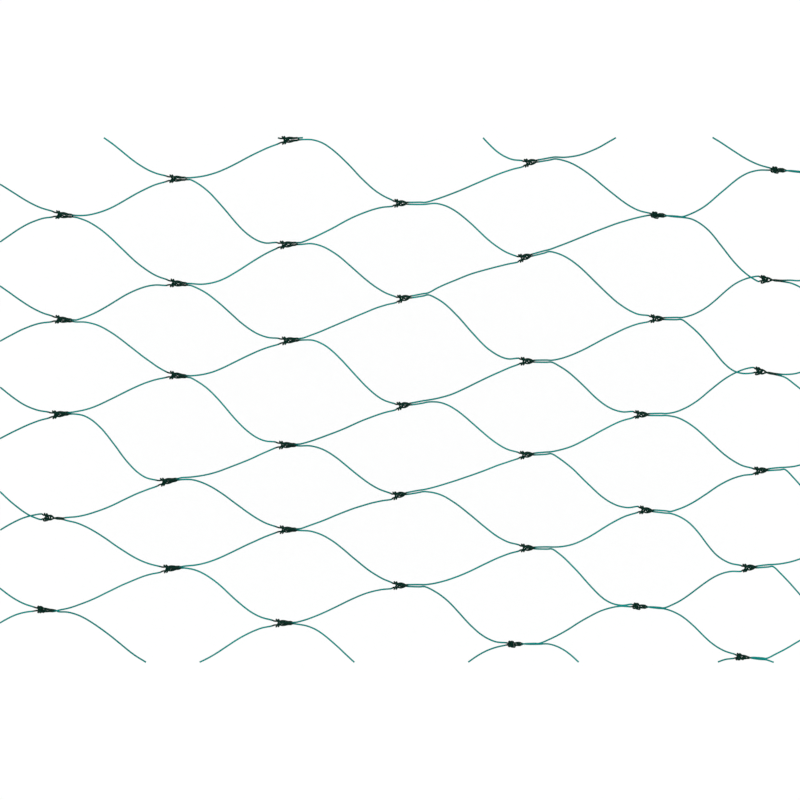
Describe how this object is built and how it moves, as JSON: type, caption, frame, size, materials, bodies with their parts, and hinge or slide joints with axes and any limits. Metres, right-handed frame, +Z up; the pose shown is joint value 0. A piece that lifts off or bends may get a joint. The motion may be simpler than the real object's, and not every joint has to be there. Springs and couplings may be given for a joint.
{
  "type": "knotted netting panel",
  "caption": "Slack panel of green monofilament netting with diamond meshes, tied with a double sheet bend at every crossing and cut straight on all sides.",
  "frame": {"origin": "middle of the panel's outline, on the surface that it lies on", "axes": "+X across the columns of knots, along the panel's longer side; +Y up the columns; +Z up, through the thickness"},
  "size_m": [0.1604, 0.1054, 0.002],
  "materials": {
    "monofilament": "drawn nylon monofilament, smooth and slightly see-through, teal green, darker where it doubles in the knots"
  },
  "bodies": {
    "left_edge": {"left_end_1": "monofilament", "left_end_2": "monofilament", "left_end_3": "monofilament", "left_end_4": "monofilament", "left_end_5": "monofilament"},
    "twine_1": {"twine_1": "monofilament"},
    "twine_2": {"twine_2": "monofilament"},
    "twine_3": {"twine_3": "monofilament"},
    "twine_4": {"twine_4": "monofilament"},
    "twine_5": {"twine_5": "monofilament"},
    "twine_6": {"twine_6": "monofilament"},
    "right_edge": {"right_end_1": "monofilament", "right_end_2": "monofilament", "right_end_3": "monofilament", "right_end_4": "monofilament", "right_end_5": "monofilament", "right_end_6": "monofilament"}
  },
  "joints": [
    {"name": "fold_1", "type": "hinge", "parent": "twine_1", "child": "left_edge", "pos_m": [-0.0664, 0, 0.0005], "axis": [0.043, 0.9991, 0], "range_deg": [-40, 40], "deforming": ["twine_1"]},
    {"name": "fold_2", "type": "hinge", "parent": "twine_2", "child": "twine_1", "pos_m": [-0.0432, 0, 0.0005], "axis": [0.02, 0.9998, 0], "range_deg": [-40, 40], "deforming": ["twine_2"]},
    {"name": "fold_3", "type": "hinge", "parent": "twine_3", "child": "twine_2", "pos_m": [-0.0207, 0, 0.0005], "axis": [0.011, 0.9999, 0], "range_deg": [-40, 40], "deforming": ["twine_3"]},
    {"name": "fold_4", "type": "hinge", "parent": "twine_3", "child": "twine_4", "pos_m": [0.0032, 0, 0.0005], "axis": [-0.006, -1, 0], "range_deg": [-40, 40], "deforming": ["twine_4"]},
    {"name": "fold_5", "type": "hinge", "parent": "twine_4", "child": "twine_5", "pos_m": [0.0286, 0, 0.0005], "axis": [-0.024, -0.9997, 0], "range_deg": [-40, 40], "deforming": ["twine_5"]},
    {"name": "fold_6", "type": "hinge", "parent": "twine_5", "child": "twine_6", "pos_m": [0.053, 0, 0.0005], "axis": [-0.0479, -0.9989, 0], "range_deg": [-40, 40], "deforming": ["twine_6"]},
    {"name": "fold_7", "type": "hinge", "parent": "twine_6", "child": "right_edge", "pos_m": [0.075, 0, 0.0005], "axis": [-0.0678, -0.9977, 0], "range_deg": [-40, 40], "deforming": ["right_end_1", "right_end_2", "right_end_3", "right_end_4", "right_end_5", "right_end_6"]}
  ]
}
